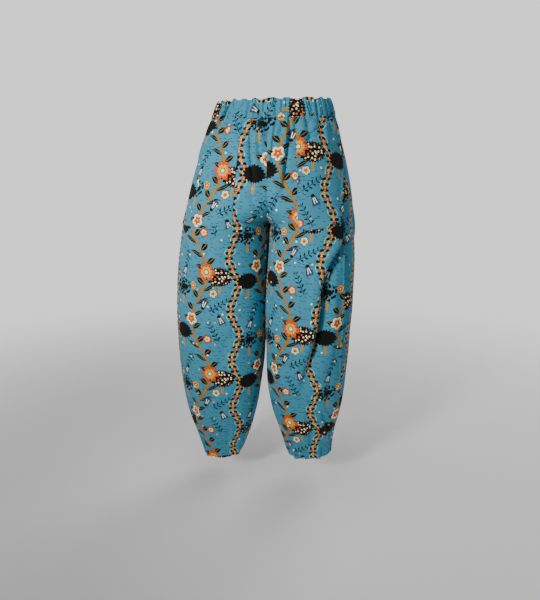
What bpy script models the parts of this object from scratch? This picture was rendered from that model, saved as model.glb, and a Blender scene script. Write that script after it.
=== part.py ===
"""Barrel leg trousers: gathered waistband, two fronts, two backs and two patch pockets.

Worn form, hollow, in metres. +Z is up, the fronts face -Y, and +X is the wearer's left.
The origin is the middle of the waistband, where the wearer's waist holds it.
"""

import bpy
import bmesh
import numpy as np

MM = 0.001
BAND_HEIGHT = 43 * MM
BAND_WALL = 3.6 * MM
BAND_PUFF = 1.2 * MM            # the casing swells between its two seams
BAND_GATHERS = 50
BAND_GATHER_DEPTH = 2.4 * MM
BAND_UNEVENNESS = 0.2           # share of the gathers' depth that changes round the waist
BAND_UNEVEN_WAVES = (7, 4)      # waves round the waist, which multiply
BAND_TOP_SWING = (3, 3)         # how far the top edge's waves drift, and how often round the waist
BAND_TOP_WAVE = 1.2 * MM        # how far the top edge goes up and down with the gathers
WAIST_TILT = 0.178              # the waist dips towards the front: rise over run
TILT_ENDS = -300 * MM           # level where the tilt has faded out

PANEL_WALL = 1.6 * MM
HEM_WALL = 2.6 * MM             # two layers, where the hem is turned up
HEM_HEIGHT = 35 * MM
SEAM_GAP = 0.3 * MM
POCKET_WALL = 1.4 * MM

WAIST = -BAND_HEIGHT / 2        # level of the waistband's seam
CROTCH = -292 * MM
CROTCH_SIDE = -262 * MM         # the crotch row is higher at the outseam
HEM = -957 * MM
RIGHT_DROP = 13 * MM            # the right leg hangs lower than the left by the hem
HEM_SLANTS = {"left": 0.10, "right": -0.04}     # rise of each hem towards its outseam
JOIN_HEIGHT = 220 * MM          # above the crotch, the two legs become one oval
GIRTH_BLEND = 100 * MM          # below the crotch, both legs come to the same girth
INSEAM_BLEND = 70 * MM          # below the crotch, the inseams start to turn
ROUNDNESS = 2.15                # 2 is an ellipse, more is squarer

GATHERS = 6                     # on each panel, below the waistband
GATHER_DEPTH = 5.5 * MM
GATHER_LENGTH = 75 * MM
GATHER_SEAM_SHARE = 0.5         # share of the depth at the seam itself
GATHER_SWELL_LENGTH = 30 * MM   # below the seam, where a gather is deepest
DEPTH_UNEVENNESS = 0.3
LENGTH_UNEVENNESS = 0.35
DEPTH_WAVES = (1.5, 1.75)       # waves across a panel, which multiply
LENGTH_WAVES = (1.0, 2.7)
FOLD_EDGE = 0.07                # share of a panel's width over which a fold dies at a seam
BULGE_HEIGHT = 0.8              # of the hollow's depth
BULGE_OFFSET = 1.4              # half-widths from the hollow's line to the bulge's
BULGE_WIDTH = 1.1
HOLLOW_WIDTH = 0.7
FOLD_LEAD = 0.12                # shares of a fold's length: it starts above its first point,
FOLD_RISE = 0.3                 # deepens over this,
FOLD_TAIL = 0.15                # ends below its last point,
FOLD_FALL = 0.5                 # and flattens over this

COLUMNS = GATHERS * 4
POCKET_COLUMN = 8               # column of the pockets' inner edge
PELVIS_ROWS = 9
LEG_ROWS = 15
LEG_ROW_POWER = 1.12            # leg rows lie a little closer together under the crotch
ROW_DIP_POWER = 1.5             # how a row bends down from the outseam to the crotch
POCKET_ROWS = PELVIS_ROWS + 1
POCKET_BOTTOM = -310 * MM
RELAX_HEIGHT = 150 * MM         # below a pocket, its columns spread out evenly again
ARC_STEPS = 160

# The garment's outline in mm: x of each leg's outer and inner side, and its depth to the front and
# back. Inner sides above the crotch are the middle seam.
SECTION_COLUMNS = ("level", "left_out", "left_in", "right_in", "right_out", "front", "back")
SECTIONS = (
    (22, 143, 0, 0, -143, 98, 100),
    (-22, 158, 0, 0, -161, 110, 111),
    (-60, 170, 0, 0, -177, 121, 122),
    (-106, 183, 0, 0, -196, 130, 137),
    (-152, 194, 0, 0, -212, 135, 147),
    (-198, 204, 0, 0, -225, 137, 152),
    (-246, 211, 0, 0, -236, 136, 150),
    (-292, 216, -7, -9, -245, 131, 144),
    (-342, 219, -10, -13, -254, 125, 131),
    (-400, 220, -13, -16, -263, 121, 121),
    (-460, 221, -15, -18, -269, 118, 116),
    (-530, 220, -17, -20, -273, 115, 114),
    (-597, 215, -19, -22, -273, 111, 112),
    (-669, 210, -17, -26, -271, 105, 109),
    (-742, 206, -14, -36, -265, 96, 103),
    (-817, 197, -1, -49, -253, 83, 93),
    (-893, 180, 23, -70, -231, 65, 79),
    (-931, 174, 36, -84, -220, 56, 71),
    (-957, 171, 46, -95, -212, 52, 66),
)

# Where the outseams and inseams run, in degrees round the leg from its outermost and innermost
# lines. Outseams turn to the front, and inseams turn the same way round, to the back.
SEAM_COLUMNS = ("level", "left_seam", "right_seam", "left_inseam", "right_inseam")
SEAMS = (
    (22, 15, 9, 0, 0),
    (-110, 18, 17, 0, 0),
    (-150, 22, 30, 0, 0),
    (-195, 30, 41, 0, 0),
    (-235, 36, 31, 0, 0),
    (-290, 39, 18, 0, 0),
    (-360, 40, 14, 8, 6),
    (-480, 39, 12, 20, 10),
    (-620, 34, 12, 20, 8),
    (-740, 30, 12, 16, 6),
    (-860, 20, 8, 8, 4),
    (-957, 5, 4, 0, 0),
)

# How far each pocket's inner edge lies from the middle of the front, in mm.
POCKET_COLUMNS = ("level", "left", "right")
POCKET_EDGES = (
    (22, 59, 60),
    (-66, 67, 67),
    (-166, 73, 76),
    (-258, 74, 83),
    (-310, 77, 88),
)

# The largest folds: three points of each fold's line, its depth and its half-width. Shares run from
# a panel's inner edge to its outseam. The cloth bulges on the inner side of each line.
FOLD_COLUMNS = ("panel", "level_1", "share_1", "level_2", "share_2", "level_3", "share_3",
                "depth", "width")
FOLDS = (
    ("front_left", -292, 1.00, -400, 0.755, -625, 0.635, 11, 34),
    ("front_left", -420, 0.30, -480, 0.34, -560, 0.36, 3, 22),
    ("front_right", -300, 0.90, -400, 0.80, -520, 0.72, 4, 26),
    ("front_right", -560, 0.40, -640, 0.50, -740, 0.58, 3, 24),
    ("back_left", -270, 0.88, -400, 0.66, -560, 0.56, 7, 26),
    ("back_left", -330, 0.22, -400, 0.30, -520, 0.42, 5, 24),
    ("back_right", -270, 0.86, -390, 0.70, -600, 0.62, 8, 26),
    ("back_right", -340, 0.20, -430, 0.30, -540, 0.36, 4, 24),
)

CLOTH_BLUE = (0.072, 0.242, 0.325, 1.0)
CLOTH_ROUGHNESS = 0.85

sections = np.array(SECTIONS) * MM
seams = np.array(SEAMS)
pocket_edges = np.array(POCKET_EDGES)


def clear_scene():
    for thing in list(bpy.data.objects):
        bpy.data.objects.remove(thing, do_unlink=True)


def ease(value):
    """0 to 1, flat at both ends."""
    value = np.clip(value, 0.0, 1.0)
    return value * value * (3.0 - 2.0 * value)


def curve_through(places, values, at):
    """A smooth curve through the points, whose places fall from row to row."""
    places, values = places[::-1], values[::-1]
    slopes = np.gradient(values, places)
    at = np.clip(at, places[0], places[-1])
    cell = np.clip(np.searchsorted(places, at) - 1, 0, len(places) - 2)
    step = places[cell + 1] - places[cell]
    t = (at - places[cell]) / step
    start = (1 + 2 * t) * (1 - t) ** 2 * values[cell] + t * (1 - t) ** 2 * step * slopes[cell]
    end = t * t * (3 - 2 * t) * values[cell + 1] - t * t * (1 - t) * step * slopes[cell + 1]
    return start + end


def outline(name, level):
    column = SECTION_COLUMNS.index(name)
    return curve_through(sections[:, 0], sections[:, column], level)


def tilt(level):
    return WAIST_TILT * ease((level - TILT_ENDS) / (WAIST - TILT_ENDS))


def half_section(side, level):
    """Centre, radius across, centre and radius in depth of one side's oval at each level."""
    sign = 1.0 if side == "left" else -1.0
    outer = sign * outline(side + "_out", level)
    inner = sign * outline(side + "_in", level)
    joined = 1 - (1 - np.clip((level - CROTCH) / JOIN_HEIGHT, 0, 1)) ** 2
    radius = (outer - inner) / 2 * (1 + joined)
    front = outline("front", level)
    back = outline("back", level)
    width = {name: np.abs(outline(name + "_out", level) - outline(name + "_in", level))
             for name in ("left", "right")}
    mean_width = (width["left"] + width["right"]) / 2
    below_crotch = ease((CROTCH - level) / GIRTH_BLEND)
    same_girth = 1 + (mean_width / width[side] - 1) * below_crotch
    return outer - radius, radius, (back - front) / 2, (front + back) / 2 * same_girth


def oval(turn, power):
    return np.sign(turn) * np.abs(turn) ** power


def seam_turn(name, level):
    column = SEAM_COLUMNS.index(name)
    return np.radians(curve_through(seams[:, 0] * MM, seams[:, column], level))[..., None]


def panel_arcs(side, face, level):
    """Each level's arc from the inner edge to the outseam: its turns, and the lengths up to them."""
    sign = 1.0 if side == "left" else -1.0
    centre, radius, centre_y, depth = (part[..., None] for part in half_section(side, level))
    middle = sign * (outline("left_in", level) + outline("right_in", level))[..., None] / 2
    reach = np.clip((middle + SEAM_GAP / 2 - centre) / radius, -1, 1)
    inner_turn = np.arccos(oval(reach, ROUNDNESS / 2)) * (1 if face == "front" else -1)
    below_crotch = ease((CROTCH - level) / INSEAM_BLEND)[..., None]
    inner_turn = inner_turn + seam_turn(side + "_inseam", level) * below_crotch
    turns = inner_turn + (seam_turn(side + "_seam", level) - inner_turn) * np.linspace(0, 1, ARC_STEPS)
    x = centre + radius * oval(np.cos(turns), 2 / ROUNDNESS)
    y = centre_y - depth * oval(np.sin(turns), 2 / ROUNDNESS)
    steps = np.hypot(np.diff(x), np.diff(y))
    return turns, np.concatenate([np.zeros(level.shape + (1,)), np.cumsum(steps, axis=-1)], axis=-1)


def on_panel(side, level, share, arcs):
    """Points of a panel's outer side, and the outward direction, at levels and shares of its width."""
    sign = 1.0 if side == "left" else -1.0
    centre, radius, centre_y, depth = (part[..., None] for part in half_section(side, level))
    turns, lengths = arcs
    wanted = SEAM_GAP / 2 + share * (lengths[..., -1] - SEAM_GAP)
    turn = np.empty(level.shape + (1,))
    for place in np.ndindex(level.shape):
        turn[place] = np.interp(wanted[place], lengths[place], turns[place])
    x = sign * (centre + radius * oval(np.cos(turn), 2 / ROUNDNESS))
    y = centre_y - depth * oval(np.sin(turn), 2 / ROUNDNESS)
    across = sign * oval(np.cos(turn), 2 - 2 / ROUNDNESS) / radius
    along = -oval(np.sin(turn), 2 - 2 / ROUNDNESS) / depth
    direction = np.concatenate([across, along], axis=-1)
    direction /= np.linalg.norm(direction, axis=-1, keepdims=True)
    return np.concatenate([x, y], axis=-1), direction


def at_height(side, flat_points, level):
    """Adds the height to points of a level: tilted at the waist, and lowered or slanted at the hem."""
    height = level + tilt(level) * flat_points[..., 1]
    middle = (outline(side + "_out", level) + outline(side + "_in", level)) / 2
    sign, drop = (1.0, 0.0) if side == "left" else (-1.0, RIGHT_DROP)
    slant = HEM_SLANTS[side] * sign * (flat_points[..., 0] - middle)
    height = height + (slant - drop) * ease((CROTCH - level) / (CROTCH - HEM))
    return np.concatenate([flat_points, height[..., None]], axis=-1)


def panel_rows():
    """Levels of each row at a panel's inner edge and at its outseam, and the wall there."""
    part = np.linspace(0, 1, PELVIS_ROWS + 1)
    inner = list(WAIST - SEAM_GAP + (CROTCH - WAIST + SEAM_GAP) * (1 - (1 - part) ** 2))
    outer = list(WAIST - SEAM_GAP + (CROTCH_SIDE - WAIST + SEAM_GAP) * part)
    hem_top = HEM + HEM_HEIGHT
    part = np.linspace(0, 1, LEG_ROWS + 1)[1:] ** LEG_ROW_POWER
    inner += list(CROTCH + (hem_top - CROTCH) * part)
    outer += list(CROTCH_SIDE + (hem_top - CROTCH_SIDE) * part)
    walls = [PANEL_WALL] * len(inner)
    inner += [hem_top - PANEL_WALL, HEM]
    outer += [hem_top - PANEL_WALL, HEM]
    walls += [HEM_WALL, HEM_WALL]
    return np.array(inner), np.array(outer), np.array(walls)


def two_waves(turn, counts, shift=0.0):
    """Two waves multiplied, which change unevenly along a turn."""
    return np.sin(counts[0] * turn) * np.sin(counts[1] * turn + shift)


def gathers(column_share, level):
    """Folds that hang from the waistband's seam and fade out below it."""
    below = WAIST - level
    swell = GATHER_SEAM_SHARE + (1 - GATHER_SEAM_SHARE) * ease(below / GATHER_SWELL_LENGTH)
    turn = 2 * np.pi * column_share
    depth = GATHER_DEPTH * (1 + DEPTH_UNEVENNESS * two_waves(turn, DEPTH_WAVES))
    length = GATHER_LENGTH * (1 + LENGTH_UNEVENNESS * two_waves(turn, LENGTH_WAVES))
    fade = 1 - ease(below / length)
    return -depth * swell * fade * np.cos(GATHERS * turn)


def folds(panel, share, level, panel_width):
    """The largest folds of one panel: a hollow along each line, and a bulge beside it."""
    relief = np.zeros(level.shape)
    for row in FOLDS:
        fold = dict(zip(FOLD_COLUMNS, row))
        if fold["panel"] != panel:
            continue
        levels = np.array([fold["level_1"], fold["level_2"], fold["level_3"]]) * MM
        line = curve_through(levels, np.array([fold[f"share_{i}"] for i in (1, 2, 3)]), level)
        offset = (share - line) * panel_width / (fold["width"] * MM)
        hollow = np.exp(-(offset / HOLLOW_WIDTH) ** 2)
        bulge = BULGE_HEIGHT * np.exp(-((offset + BULGE_OFFSET) / BULGE_WIDTH) ** 2)
        down = (levels[0] - level) / (levels[0] - levels[2])
        fade = ease((down + FOLD_LEAD) / FOLD_RISE) * ease((1 + FOLD_TAIL - down) / FOLD_FALL)
        relief += fold["depth"] * MM * (bulge - hollow) * fade
    return relief * ease(share / FOLD_EDGE) * ease((1 - share) / FOLD_EDGE)


def front_shares(side, level, column_share, arcs):
    """Shares of a front's width for its columns, one of which follows the pocket's inner edge."""
    centre, radius, _, _ = half_section(side, level)
    from_middle = curve_through(pocket_edges[:, 0] * MM,
                                pocket_edges[:, POCKET_COLUMNS.index(side)] * MM, level)
    reach = np.clip((from_middle - centre) / radius, -1, 1)
    edge_turn = np.arccos(oval(reach, ROUNDNESS / 2))
    turns, lengths = arcs
    edge = np.empty(level.shape)
    for place in np.ndindex(level.shape):
        to_edge = np.interp(-edge_turn[place], -turns[place], lengths[place])
        edge[place] = to_edge / lengths[place][-1]
    edge_column = POCKET_COLUMN / COLUMNS
    relaxed = ease((POCKET_BOTTOM - level) / RELAX_HEIGHT)
    edge = edge * (1 - relaxed) + edge_column * relaxed
    inside = column_share / edge_column * edge
    outside = edge + (column_share - edge_column) / (1 - edge_column) * (1 - edge)
    return np.where(column_share < edge_column, inside, outside)


def panel_grid(side, face):
    """Outer points, inner points and outward directions of one panel."""
    inner_levels, outer_levels, walls = panel_rows()
    column_share = np.linspace(0, 1, COLUMNS + 1)
    dip = (1 - column_share) ** ROW_DIP_POWER
    level = outer_levels[:, None] + (inner_levels - outer_levels)[:, None] * dip
    arcs = panel_arcs(side, face, level)
    width = arcs[1][..., -1]
    share = np.broadcast_to(column_share, level.shape)
    if face == "front":
        share = front_shares(side, level, column_share, arcs)
    flat, direction = on_panel(side, level, share, arcs)
    relief = gathers(column_share, level) + folds(f"{face}_{side}", share, level, width)
    flat = flat + direction * relief[..., None]
    slope = np.gradient(flat, axis=1)[:, 1:-1]
    facing = np.stack([slope[..., 1], -slope[..., 0]], axis=-1)
    facing *= np.sign((facing * direction[:, 1:-1]).sum(-1, keepdims=True))
    direction[:, 1:-1] = facing / np.linalg.norm(facing, axis=-1, keepdims=True)
    inside = flat - direction * walls[:, None, None]
    return flat, inside, direction, level


def walled(name, outer, inner, color, closed=False, dropped=()):
    """A closed solid between two grids of points, without the dropped lower triangles."""
    rows, columns = outer.shape[:2]
    points = np.concatenate([outer.reshape(-1, 3), inner.reshape(-1, 3)])
    behind = rows * columns
    triangles = []
    for row in range(rows - 1):
        for column in range(columns if closed else columns - 1):
            beside = (column + 1) % columns
            a, b = row * columns + column, row * columns + beside
            c, d = a + columns - column + beside, a + columns
            if row < POCKET_ROWS:
                triangles += [(a, b, c)] if (row, column) in dropped else [(a, b, c), (a, c, d)]
            else:
                triangles += [(a, b, d), (b, c, d)]
    uses = {}
    for triangle in triangles:
        for start, end in zip(triangle, triangle[1:] + triangle[:1]):
            uses[frozenset((start, end))] = None if frozenset((start, end)) in uses else (start, end)
    faces = list(triangles)
    faces += [tuple(corner + behind for corner in reversed(triangle)) for triangle in triangles]
    for edge in filter(None, uses.values()):
        start, end = edge
        faces += [(end, start, start + behind), (end, start + behind, end + behind)]
    used = sorted({corner for face in faces for corner in face})
    new_place = {corner: place for place, corner in enumerate(used)}
    mesh = bpy.data.meshes.new(name)
    mesh.from_pydata([points[corner].tolist() for corner in used], [],
                     [[new_place[corner] for corner in face] for face in faces])
    solid = bmesh.new()
    solid.from_mesh(mesh)
    bmesh.ops.recalc_face_normals(solid, faces=solid.faces)
    solid.to_mesh(mesh)
    solid.free()
    mesh.materials.append(cloth(name, color))
    thing = bpy.data.objects.new(name, mesh)
    bpy.context.scene.collection.objects.link(thing)
    return thing


def cloth(name, color):
    material = bpy.data.materials.new(name)
    material.use_nodes = True
    shader = material.node_tree.nodes["Principled BSDF"]
    shader.inputs["Base Color"].default_value = color
    shader.inputs["Roughness"].default_value = CLOTH_ROUGHNESS
    shader.inputs["Metallic"].default_value = 0.0
    material.diffuse_color = color
    return material


def waistband():
    """A closed ring of casing, gathered by the elastic inside it."""
    columns = BAND_GATHERS * 4
    turn = np.linspace(0, 2 * np.pi, columns, endpoint=False)
    gather = turn * BAND_GATHERS
    uneven = 1 - BAND_UNEVENNESS * (1 - two_waves(turn, BAND_UNEVEN_WAVES, 1 + np.pi / 2))
    wave = -BAND_GATHER_DEPTH * uneven * np.cos(gather)
    profile = ((0.5, 0.0), (0.28, 1.0), (-0.22, 1.0), (-0.5, 0.0))     # height, puff
    rings = []
    for height, puff in profile:
        level = np.full(columns, height * BAND_HEIGHT)
        left, right = half_section("left", level)[1], half_section("right", level)[1]
        radius = np.where(np.cos(turn) > 0, left, right)
        _, _, centre_y, depth = half_section("left", level)
        across = oval(np.cos(turn), 2 / ROUNDNESS)
        along = oval(np.sin(turn), 2 / ROUNDNESS)
        flat = np.stack([radius * across, centre_y + depth * along], axis=-1)
        direction = np.stack([oval(np.cos(turn), 2 - 2 / ROUNDNESS) / radius,
                              oval(np.sin(turn), 2 - 2 / ROUNDNESS) / depth], axis=-1)
        direction /= np.linalg.norm(direction, axis=-1, keepdims=True)
        outside = flat + direction * (wave + puff * BAND_PUFF + BAND_PUFF)[:, None]
        inside = flat + direction * (wave + BAND_PUFF - BAND_WALL)[:, None]
        if height == 0.5:
            drift = BAND_TOP_SWING[0] * np.sin(turn * BAND_TOP_SWING[1])
            level = level + BAND_TOP_WAVE * np.sin(gather / 2 + drift)
        rings.append((at_height("left", outside, level), at_height("left", inside, level)))
    outer = np.stack([ring[0] for ring in rings])
    inner = np.stack([ring[1] for ring in rings])
    walled("waistband", outer, inner, CLOTH_BLUE, closed=True)


def leg_panels():
    for side in ("left", "right"):
        for face in ("front", "back"):
            flat, inside, direction, level = panel_grid(side, face)
            outer, inner = at_height(side, flat, level), at_height(side, inside, level)
            walled(f"{face}_{side}", outer, inner, CLOTH_BLUE)
            if face == "front":
                pocket(side, flat, direction, level)


def pocket(side, flat, direction, level):
    """A patch on the front, from its own points: caught in the waist seam and the outseam."""
    flat, direction, level = (part[:POCKET_ROWS + 1, POCKET_COLUMN:]
                              for part in (flat, direction, level))
    inner = at_height(side, flat + direction * SEAM_GAP, level)
    outer = at_height(side, flat + direction * (SEAM_GAP + POCKET_WALL), level)
    walled(f"pocket_{side}", outer, inner, CLOTH_BLUE, dropped={(POCKET_ROWS - 1, 0)})


clear_scene()
waistband()
leg_panels()
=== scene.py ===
import math

import bpy
import numpy as np
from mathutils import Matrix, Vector


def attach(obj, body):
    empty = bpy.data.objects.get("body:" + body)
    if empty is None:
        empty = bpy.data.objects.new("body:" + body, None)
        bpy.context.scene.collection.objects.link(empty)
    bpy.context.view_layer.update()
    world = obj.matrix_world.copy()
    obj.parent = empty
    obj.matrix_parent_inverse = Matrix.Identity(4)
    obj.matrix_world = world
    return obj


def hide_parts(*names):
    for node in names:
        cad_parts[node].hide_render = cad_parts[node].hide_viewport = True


# Barrel leg trousers, worn and hollow. Metres, +Z up, the fronts face -Y, +X is the wearer's left.

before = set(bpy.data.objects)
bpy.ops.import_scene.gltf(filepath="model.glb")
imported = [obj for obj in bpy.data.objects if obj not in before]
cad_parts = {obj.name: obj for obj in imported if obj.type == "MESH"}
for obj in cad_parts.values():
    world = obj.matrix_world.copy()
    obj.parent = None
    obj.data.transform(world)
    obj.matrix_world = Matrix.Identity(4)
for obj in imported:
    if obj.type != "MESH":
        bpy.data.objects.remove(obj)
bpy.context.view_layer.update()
mm = 0.001
print("frame loaded:", ", ".join(sorted(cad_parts)))


camera = {
    "azimuth": 7.5,          # degrees, towards the wearer's left
    "pitch": -11.0,
    "distance": 1.215,
    "sideways": -0.0095,
    "height": -0.2675,
    "lens": 26.4,
    "sensor": 36.0,
}

studio = {
    "floorHeight": -1.045,
    "floorRadius": 4.0, "fadeFrom": 0.45, "fadeTo": 3.0,    # the floor thins out into the pale air
    "floorColor": (0.95, 0.925, 0.92), "floorRoughness": 0.9,
    "seenAir": (0.98, 0.945, 0.94), "seenStrength": 1.25,
    "air": (0.86, 0.88, 0.90), "airStrength": 0.24,
    # name, place, aim, size, spread in degrees, watts, colour
    "lamps": (
        ("keyLamp", (-1.0, -1.7, 0.15), (0.0, 0.0, -0.28), 0.45, 60, 5.6, (1.0, 0.985, 0.96)),
        ("fillLamp", (2.1, -1.8, 0.3), (0.0, 0.0, -0.4), 2.0, 180, 17, (0.93, 0.96, 1.0)),
        ("backLamp", (1.2, 2.4, 1.3), (0.0, 0.0, -0.3), 2.0, 180, 40, (1.0, 0.99, 0.97)),
        ("topLamp", (-0.4, -0.2, 2.4), (0.0, 0.0, -0.2), 1.6, 180, 18, (1.0, 1.0, 1.0)),
    ),
}


def makeCamera():
    data = bpy.data.cameras.new("camera")
    data.sensor_fit = "VERTICAL"
    data.sensor_width = camera["sensor"]
    data.sensor_height = camera["sensor"]
    data.lens = camera["lens"]
    view = bpy.data.objects.new("camera", data)
    bpy.context.scene.collection.objects.link(view)
    turn, pitch = math.radians(camera["azimuth"]), math.radians(camera["pitch"])
    along = Vector((-math.sin(turn), math.cos(turn), 0.0))
    across = Vector((math.cos(turn), math.sin(turn), 0.0))
    up = Vector((0.0, 0.0, 1.0))
    view.location = across * camera["sideways"] - along * camera["distance"] + up * camera["height"]
    looking = along * math.cos(pitch) + up * math.sin(pitch)
    view.rotation_euler = looking.to_track_quat("-Z", "Y").to_euler()
    bpy.context.scene.camera = view


def makeFloorPaint():
    floorPaint = bpy.data.materials.new("floorPaint")
    floorPaint.use_nodes = True
    nodes, links = floorPaint.node_tree.nodes, floorPaint.node_tree.links
    shader = nodes["Principled BSDF"]
    shader.inputs["Base Color"].default_value = (*studio["floorColor"], 1)
    shader.inputs["Roughness"].default_value = studio["floorRoughness"]
    place = nodes.new("ShaderNodeTexCoord")
    away = nodes.new("ShaderNodeVectorMath")
    away.operation = "LENGTH"
    links.new(place.outputs["Object"], away.inputs[0])
    fade = nodes.new("ShaderNodeMapRange")
    fade.interpolation_type = "SMOOTHSTEP"
    fade.inputs["From Min"].default_value = studio["fadeFrom"]
    fade.inputs["From Max"].default_value = studio["fadeTo"]
    fade.inputs["To Min"].default_value = 1.0
    fade.inputs["To Max"].default_value = 0.0
    links.new(away.outputs["Value"], fade.inputs["Value"])
    links.new(fade.outputs[0], shader.inputs["Alpha"])
    return floorPaint


def makeAir():
    # pale to look at, and a softer light on the cloth
    world = bpy.data.worlds.new("air")
    world.use_nodes = True
    nodes, links = world.node_tree.nodes, world.node_tree.links
    lit = nodes["Background"]
    lit.inputs["Color"].default_value = (*studio["air"], 1)
    lit.inputs["Strength"].default_value = studio["airStrength"]
    seen = nodes.new("ShaderNodeBackground")
    seen.inputs["Color"].default_value = (*studio["seenAir"], 1)
    seen.inputs["Strength"].default_value = studio["seenStrength"]
    ray = nodes.new("ShaderNodeLightPath")
    both = nodes.new("ShaderNodeMixShader")
    links.new(ray.outputs["Is Camera Ray"], both.inputs[0])
    links.new(lit.outputs[0], both.inputs[1])
    links.new(seen.outputs[0], both.inputs[2])
    links.new(both.outputs[0], nodes["World Output"].inputs["Surface"])
    return world


def makeStudio():
    bpy.ops.mesh.primitive_circle_add(vertices=96, radius=studio["floorRadius"], fill_type="NGON",
                                      location=(0, 0, studio["floorHeight"]))
    floor = bpy.context.object
    floor.name = "floor"
    floor.data.materials.append(makeFloorPaint())
    bpy.context.scene.world = makeAir()
    for name, place, aim, size, spread, watts, color in studio["lamps"]:
        data = bpy.data.lights.new(name, "AREA")
        data.shape = "DISK"
        data.size = size
        data.spread = math.radians(spread)
        data.energy = watts
        data.color = color
        lamp = bpy.data.objects.new(name, data)
        lamp.location = place
        lamp.rotation_euler = (Vector(aim) - Vector(place)).to_track_quat("-Z", "Y").to_euler()
        bpy.context.scene.collection.objects.link(lamp)


makeCamera()
makeStudio()
print("camera, floor and lamps made")


form = {
    "bandHeight": 43 * mm, "waistTilt": 0.178, "tiltEnds": -300 * mm,
    "crotch": -292 * mm, "crotchSide": -262 * mm, "hem": -957 * mm, "hemHeight": 35 * mm,
    "rightDrop": 13 * mm, "hemSlant": {"left": 0.10, "right": -0.04},
    "joinHeight": 220 * mm, "girthBlend": 100 * mm, "inseamBlend": 70 * mm, "roundness": 2.15,
    "pocketColumn": 8 / 24, "pocketBottom": -310 * mm, "relaxHeight": 150 * mm,
    "legPower": 1.12, "dipPower": 1.5, "legRowOfPocket": 1 / 15, "arcSteps": 200,
    "girthOfTurn": 135 * mm,                 # length of one radian round the waistband
}
form["waist"] = -form["bandHeight"] / 2

sectionNames = ("level", "leftOut", "leftIn", "rightIn", "rightOut", "front", "back")
sections = np.array((
    (22, 143, 0, 0, -143, 98, 100),
    (-22, 158, 0, 0, -161, 110, 111),
    (-60, 170, 0, 0, -177, 121, 122),
    (-106, 183, 0, 0, -196, 130, 137),
    (-152, 194, 0, 0, -212, 135, 147),
    (-198, 204, 0, 0, -225, 137, 152),
    (-246, 211, 0, 0, -236, 136, 150),
    (-292, 216, -7, -9, -245, 131, 144),
    (-342, 219, -10, -13, -254, 125, 131),
    (-400, 220, -13, -16, -263, 121, 121),
    (-460, 221, -15, -18, -269, 118, 116),
    (-530, 220, -17, -20, -273, 115, 114),
    (-597, 215, -19, -22, -273, 111, 112),
    (-669, 210, -17, -26, -271, 105, 109),
    (-742, 206, -14, -36, -265, 96, 103),
    (-817, 197, -1, -49, -253, 83, 93),
    (-893, 180, 23, -70, -231, 65, 79),
    (-931, 174, 36, -84, -220, 56, 71),
    (-957, 171, 46, -95, -212, 52, 66),
)) * mm

# outseams and inseams, in degrees round the leg from its outermost and innermost lines
seamNames = ("level", "leftOut", "rightOut", "leftIn", "rightIn")
seams = np.array((
    (22, 15, 9, 0, 0),
    (-110, 18, 17, 0, 0),
    (-150, 22, 30, 0, 0),
    (-195, 30, 41, 0, 0),
    (-235, 36, 31, 0, 0),
    (-290, 39, 18, 0, 0),
    (-360, 40, 14, 8, 6),
    (-480, 39, 12, 20, 10),
    (-620, 34, 12, 20, 8),
    (-740, 30, 12, 16, 6),
    (-860, 20, 8, 8, 4),
    (-957, 5, 4, 0, 0),
))

# the pockets' inner edges, from the middle of the front
pocketEdges = np.array((
    (22, 59, 60),
    (-66, 67, 67),
    (-166, 73, 76),
    (-258, 74, 83),
    (-310, 77, 88),
)) * mm


def ease(value):
    value = np.clip(value, 0.0, 1.0)
    return value * value * (3.0 - 2.0 * value)


def bump(value):
    return np.exp(-value * value)


def throughPoints(places, values, at):
    # smooth curve through points whose places fall from row to row
    places, values = places[::-1], values[::-1]
    slopes = np.gradient(values, places)
    at = np.clip(at, places[0], places[-1])
    cell = np.clip(np.searchsorted(places, at) - 1, 0, len(places) - 2)
    step = places[cell + 1] - places[cell]
    t = (at - places[cell]) / step
    start = (1 + 2 * t) * (1 - t) ** 2 * values[cell] + t * (1 - t) ** 2 * step * slopes[cell]
    end = t * t * (3 - 2 * t) * values[cell + 1] - t * t * (1 - t) * step * slopes[cell + 1]
    return start + end


def formAt(name, level):
    return throughPoints(sections[:, 0], sections[:, sectionNames.index(name)], level)


def seamTurn(name, level):
    return np.radians(throughPoints(seams[:, 0] * mm, seams[:, seamNames.index(name)], level))[..., None]


def signOf(side):
    return 1.0 if side == "left" else -1.0


def halfSection(side, level):
    # centre and radius across, centre and radius in depth of one side's oval
    outer = signOf(side) * formAt(side + "Out", level)
    inner = signOf(side) * formAt(side + "In", level)
    joined = 1 - (1 - np.clip((level - form["crotch"]) / form["joinHeight"], 0, 1)) ** 2
    radius = (outer - inner) / 2 * (1 + joined)
    front, back = formAt("front", level), formAt("back", level)
    widths = {leg: np.abs(formAt(leg + "Out", level) - formAt(leg + "In", level))
              for leg in ("left", "right")}
    sameGirth = 1 + ((widths["left"] + widths["right"]) / 2 / widths[side] - 1) * ease(
        (form["crotch"] - level) / form["girthBlend"])
    return outer - radius, radius, (back - front) / 2, (front + back) / 2 * sameGirth


def oval(turn, power):
    return np.sign(turn) * np.abs(turn) ** power


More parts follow.
